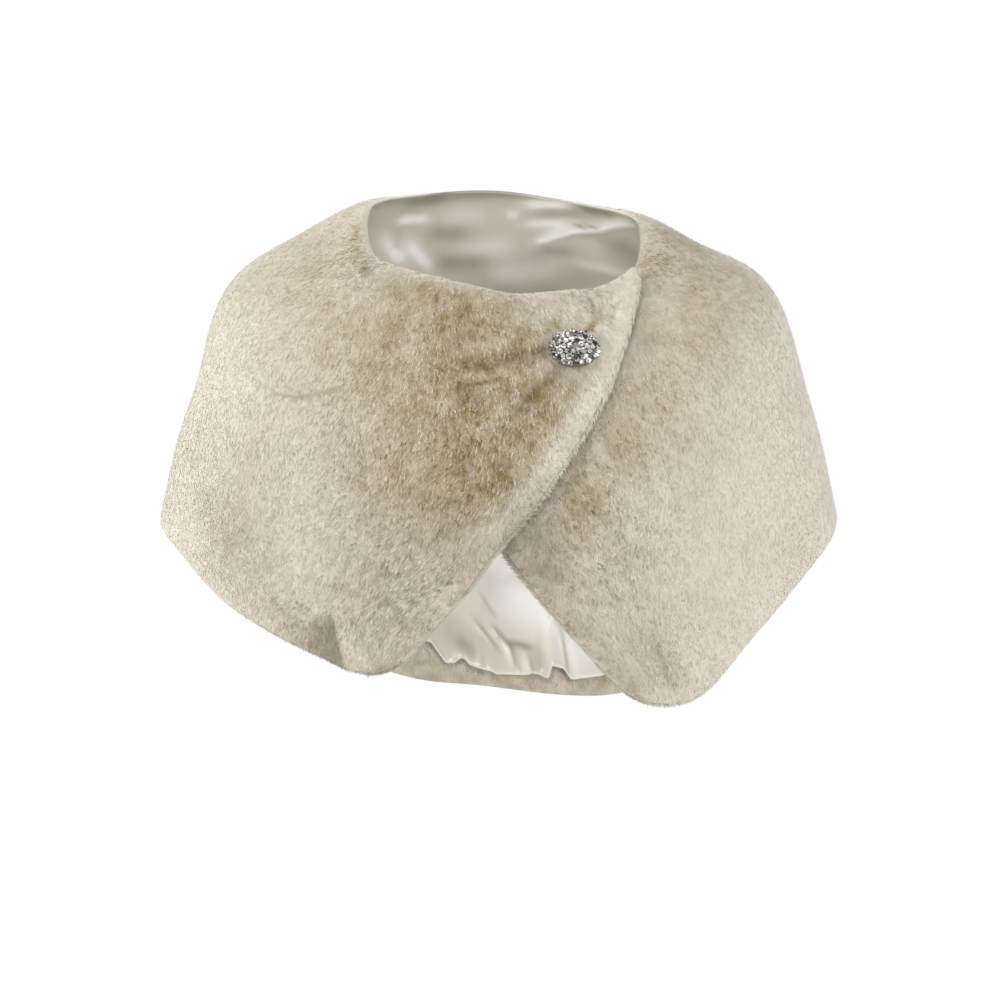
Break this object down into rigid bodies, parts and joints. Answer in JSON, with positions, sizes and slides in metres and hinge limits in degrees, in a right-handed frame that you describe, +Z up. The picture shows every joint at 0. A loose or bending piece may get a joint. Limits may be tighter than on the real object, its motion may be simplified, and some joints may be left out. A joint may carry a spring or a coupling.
{
  "type": "faux fur shrug",
  "caption": "Hollow worn-shape shoulder cape of plush faux fur with a satin lining; one front wraps over the other and is held by an oval jewelled brooch.",
  "frame": {"origin": "where the shoulders hold it up: midway between the two points where the neck edge crosses the shoulder line", "axes": "+Z up, -Y out of the front, +X towards the wearer's left"},
  "size_m": [0.5055, 0.3237, 0.405],
  "materials": {
    "fur": "short plush pile, cream with tan roots",
    "satin": "glossy ivory satin",
    "setting": "antique silver plate",
    "stones": "cut, foil-backed rhinestones"
  },
  "bodies": {
    "root": {"right_front": "fur", "left_front": "fur", "back": "fur", "back_hem_facing": "fur", "right_front_lining": "satin", "left_front_lining": "satin", "back_lining": "satin", "brooch_setting": "setting", "brooch_stones": "stones"}
  },
  "joints": []
}
